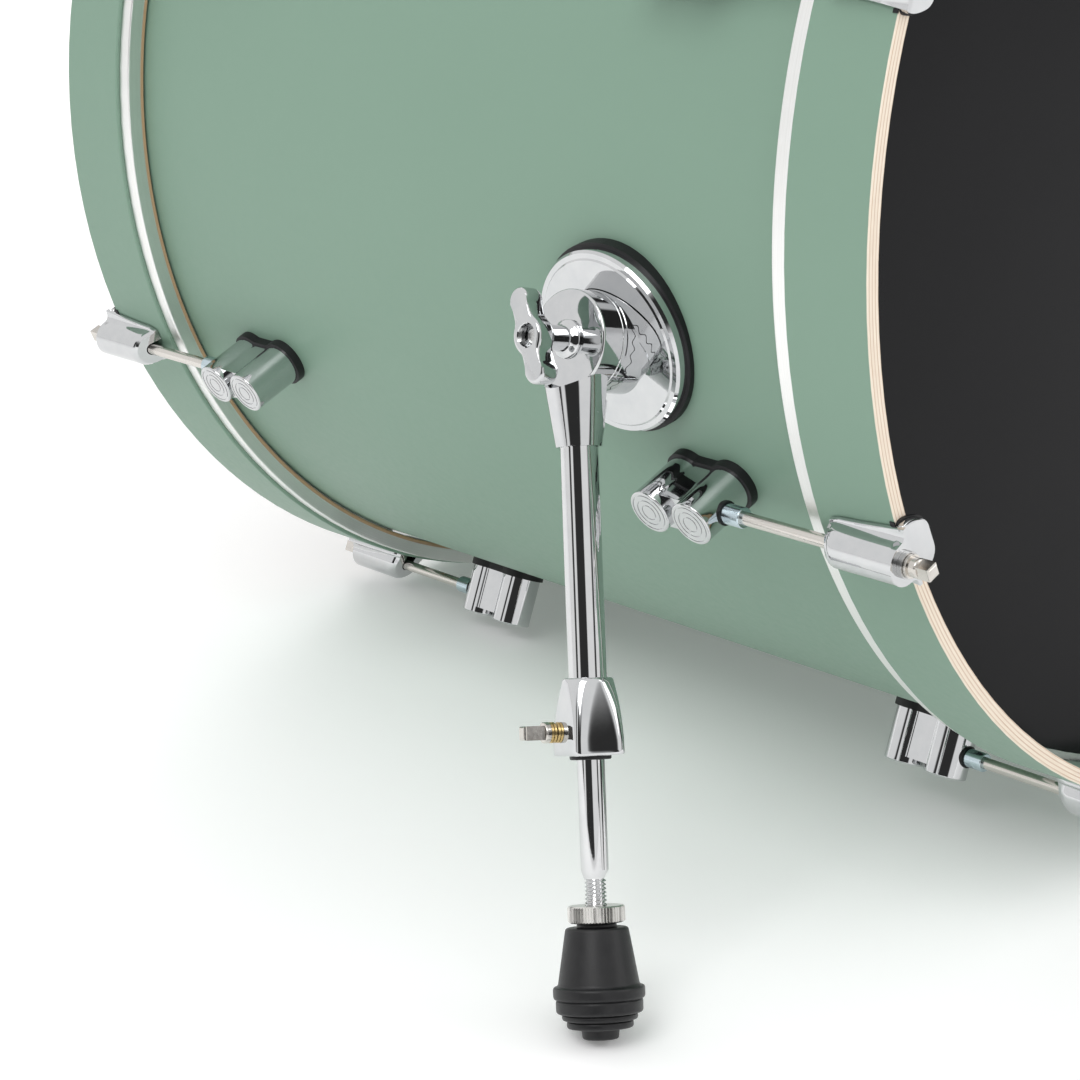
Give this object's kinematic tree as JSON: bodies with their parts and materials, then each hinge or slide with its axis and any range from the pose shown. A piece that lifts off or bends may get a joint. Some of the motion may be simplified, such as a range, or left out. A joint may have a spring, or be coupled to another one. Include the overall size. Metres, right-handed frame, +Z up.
{
  "type": "bass drum",
  "caption": "Bass drum on two folding spurs: lacquered shell, wooden hoops, claws, tension rods, black front head and clear batter head.",
  "frame": {"origin": "on the floor, under the middle of the drum's box", "axes": "+Z up, -Y towards the front head, +Y towards the batter head, +X across; the drum's axis rises 2.62 degrees towards the front"},
  "size_m": [0.7778, 0.5934, 0.6066],
  "materials": {
    "shell_lacquer": "satin lacquer over plywood",
    "hoop_lacquer": "satin lacquer, plies bare at the edges",
    "flesh_aluminium": "satin",
    "black_film": "smooth black film",
    "clear_film": "clear film",
    "cast_chrome": "mirror plate on zinc casting",
    "tube_chrome": "mirror plate on steel",
    "zinc_sleeve": "blue-white zinc plate",
    "rod_steel": "nickel plated",
    "screw_steel": "zinc plated",
    "knurled_steel": "straight knurl",
    "washer_brass": "bright",
    "gasket_rubber": "matt moulded",
    "foot_rubber": "satin moulded"
  },
  "bodies": {
    "drum": {"shell": "shell_lacquer", "vent_grommet": "cast_chrome", "front_hoop": "hoop_lacquer", "batter_hoop": "hoop_lacquer", "front_flesh_hoop": "flesh_aluminium", "batter_flesh_hoop": "flesh_aluminium", "front_head": "black_film", "batter_head": "clear_film", "front_lugs": "cast_chrome", "batter_lugs": "cast_chrome", "front_claws": "cast_chrome", "batter_claws": "cast_chrome", "lug_gaskets": "gasket_rubber", "lug_screws": "screw_steel", "swivel_nuts": "zinc_sleeve", "swivel_bushes": "gasket_rubber", "claw_liners": "gasket_rubber", "rod_washers": "screw_steel", "spur_gaskets": "gasket_rubber", "spur_bracket_screws": "screw_steel", "left_spur_bracket": "cast_chrome", "right_spur_bracket": "cast_chrome", "left_hinge_bolt": "screw_steel", "right_hinge_bolt": "screw_steel"},
    "left_leg": {"left_leg_socket": "cast_chrome", "left_socket_pin": "screw_steel", "left_upper_tube": "tube_chrome", "left_memory_lock": "cast_chrome", "left_lock_washers": "washer_brass"},
    "left_wing_nut": {"left_wing_nut": "cast_chrome"},
    "left_lock_screw": {"left_lock_screw": "rod_steel"},
    "left_inner_rod": {"left_inner_rod": "tube_chrome"},
    "left_knurled_nut": {"left_knurled_nut": "knurled_steel"},
    "left_rubber_foot": {"left_rubber_foot": "foot_rubber"},
    "right_leg": {"right_leg_socket": "cast_chrome", "right_socket_pin": "screw_steel", "right_upper_tube": "tube_chrome", "right_memory_lock": "cast_chrome", "right_lock_washers": "washer_brass"},
    "right_wing_nut": {"right_wing_nut": "cast_chrome"},
    "right_lock_screw": {"right_lock_screw": "rod_steel"},
    "right_inner_rod": {"right_inner_rod": "tube_chrome"},
    "right_knurled_nut": {"right_knurled_nut": "knurled_steel"},
    "right_rubber_foot": {"right_rubber_foot": "foot_rubber"},
    "batter_rod_1": {"batter_rod_1": "rod_steel"},
    "batter_rod_2": {"batter_rod_2": "rod_steel"},
    "batter_rod_3": {"batter_rod_3": "rod_steel"},
    "batter_rod_4": {"batter_rod_4": "rod_steel"},
    "batter_rod_5": {"batter_rod_5": "rod_steel"},
    "batter_rod_6": {"batter_rod_6": "rod_steel"},
    "batter_rod_7": {"batter_rod_7": "rod_steel"},
    "batter_rod_8": {"batter_rod_8": "rod_steel"},
    "front_rod_1": {"front_rod_1": "rod_steel"},
    "front_rod_2": {"front_rod_2": "rod_steel"},
    "front_rod_3": {"front_rod_3": "rod_steel"},
    "front_rod_4": {"front_rod_4": "rod_steel"},
    "front_rod_5": {"front_rod_5": "rod_steel"},
    "front_rod_6": {"front_rod_6": "rod_steel"},
    "front_rod_7": {"front_rod_7": "rod_steel"},
    "front_rod_8": {"front_rod_8": "rod_steel"}
  },
  "joints": [
    {"name": "left_leg_fold", "type": "hinge", "parent": "drum", "child": "left_leg", "pos_m": [-0.30105, -0.11643, 0.2637], "axis": [-0.9636, 0.0122, 0.267], "range_deg": [-105, 15]},
    {"name": "left_wing_nut_turn", "type": "hinge", "parent": "drum", "child": "left_wing_nut", "pos_m": [-0.30105, -0.11643, 0.2637], "axis": [-0.9636, 0.0122, 0.267], "continuous": true},
    {"name": "left_lock_screw_turn", "type": "hinge", "parent": "left_leg", "child": "left_lock_screw", "pos_m": [-0.33978, -0.15934, 0.11254], "axis": [-0.9312, 0.3352, 0.1434], "range_deg": [0, 360]},
    {"name": "left_leg_length", "type": "slide", "parent": "left_leg", "child": "left_inner_rod", "axis": [-0.2565, -0.3227, -0.9111], "range_m": [-0.045, 0.04]},
    {"name": "left_foot_travel", "type": "slide", "parent": "left_inner_rod", "child": "left_rubber_foot", "axis": [0.2565, 0.3227, 0.9111], "range_m": [0, 0.01]},
    {"name": "left_nut_travel", "type": "slide", "parent": "left_inner_rod", "child": "left_knurled_nut", "axis": [0.2565, 0.3227, 0.9111], "range_m": [0, 0.01]},
    {"name": "right_leg_fold", "type": "hinge", "parent": "drum", "child": "right_leg", "pos_m": [0.30105, -0.11643, 0.2637], "axis": [-0.9636, -0.0122, -0.267], "range_deg": [-105, 15]},
    {"name": "right_wing_nut_turn", "type": "hinge", "parent": "drum", "child": "right_wing_nut", "pos_m": [0.30105, -0.11643, 0.2637], "axis": [-0.9636, -0.0122, -0.267], "continuous": true},
    {"name": "right_lock_screw_turn", "type": "hinge", "parent": "right_leg", "child": "right_lock_screw", "pos_m": [0.33978, -0.15934, 0.11254], "axis": [0.9312, 0.3352, 0.1434], "range_deg": [0, 360]},
    {"name": "right_leg_length", "type": "slide", "parent": "right_leg", "child": "right_inner_rod", "axis": [0.2565, -0.3227, -0.9111], "range_m": [-0.045, 0.04]},
    {"name": "right_foot_travel", "type": "slide", "parent": "right_inner_rod", "child": "right_rubber_foot", "axis": [-0.2565, 0.3227, 0.9111], "range_m": [0, 0.01]},
    {"name": "right_nut_travel", "type": "slide", "parent": "right_inner_rod", "child": "right_knurled_nut", "axis": [-0.2565, 0.3227, 0.9111], "range_m": [0, 0.01]},
    {"name": "batter_rod_1_turn", "type": "hinge", "parent": "drum", "child": "batter_rod_1", "pos_m": [0.27485, 0.205, 0.40791], "axis": [0, 0.999, -0.0457], "continuous": true},
    {"name": "batter_rod_2_turn", "type": "hinge", "parent": "drum", "child": "batter_rod_2", "pos_m": [0.11385, 0.21235, 0.56875], "axis": [0, 0.999, -0.0457], "continuous": true},
    {"name": "batter_rod_3_turn", "type": "hinge", "parent": "drum", "child": "batter_rod_3", "pos_m": [-0.11385, 0.21235, 0.56875], "axis": [0, 0.999, -0.0457], "continuous": true},
    {"name": "batter_rod_4_turn", "type": "hinge", "parent": "drum", "child": "batter_rod_4", "pos_m": [-0.27485, 0.205, 0.40791], "axis": [0, 0.999, -0.0457], "continuous": true},
    {"name": "batter_rod_5_turn", "type": "hinge", "parent": "drum", "child": "batter_rod_5", "pos_m": [-0.27485, 0.19459, 0.18045], "axis": [0, 0.999, -0.0457], "continuous": true},
    {"name": "batter_rod_6_turn", "type": "hinge", "parent": "drum", "child": "batter_rod_6", "pos_m": [-0.11385, 0.18723, 0.01962], "axis": [0, 0.999, -0.0457], "continuous": true},
    {"name": "batter_rod_7_turn", "type": "hinge", "parent": "drum", "child": "batter_rod_7", "pos_m": [0.11385, 0.18723, 0.01962], "axis": [0, 0.999, -0.0457], "continuous": true},
    {"name": "batter_rod_8_turn", "type": "hinge", "parent": "drum", "child": "batter_rod_8", "pos_m": [0.27485, 0.19459, 0.18045], "axis": [0, 0.999, -0.0457], "continuous": true},
    {"name": "front_rod_1_turn", "type": "hinge", "parent": "drum", "child": "front_rod_1", "pos_m": [0.27485, -0.19459, 0.4262], "axis": [0, -0.999, 0.0457], "continuous": true},
    {"name": "front_rod_2_turn", "type": "hinge", "parent": "drum", "child": "front_rod_2", "pos_m": [0.11385, -0.18723, 0.58703], "axis": [0, -0.999, 0.0457], "continuous": true},
    {"name": "front_rod_3_turn", "type": "hinge", "parent": "drum", "child": "front_rod_3", "pos_m": [-0.11385, -0.18723, 0.58703], "axis": [0, -0.999, 0.0457], "continuous": true},
    {"name": "front_rod_4_turn", "type": "hinge", "parent": "drum", "child": "front_rod_4", "pos_m": [-0.27485, -0.19459, 0.4262], "axis": [0, -0.999, 0.0457], "continuous": true},
    {"name": "front_rod_5_turn", "type": "hinge", "parent": "drum", "child": "front_rod_5", "pos_m": [-0.27485, -0.205, 0.19874], "axis": [0, -0.999, 0.0457], "continuous": true},
    {"name": "front_rod_6_turn", "type": "hinge", "parent": "drum", "child": "front_rod_6", "pos_m": [-0.11385, -0.21235, 0.0379], "axis": [0, -0.999, 0.0457], "continuous": true},
    {"name": "front_rod_7_turn", "type": "hinge", "parent": "drum", "child": "front_rod_7", "pos_m": [0.11385, -0.21235, 0.0379], "axis": [0, -0.999, 0.0457], "continuous": true},
    {"name": "front_rod_8_turn", "type": "hinge", "parent": "drum", "child": "front_rod_8", "pos_m": [0.27485, -0.205, 0.19874], "axis": [0, -0.999, 0.0457], "continuous": true}
  ],
  "couplings": [
    {"joint": "left_nut_travel", "follows": "left_foot_travel", "ratio": 1},
    {"joint": "right_nut_travel", "follows": "right_foot_travel", "ratio": 1}
  ]
}
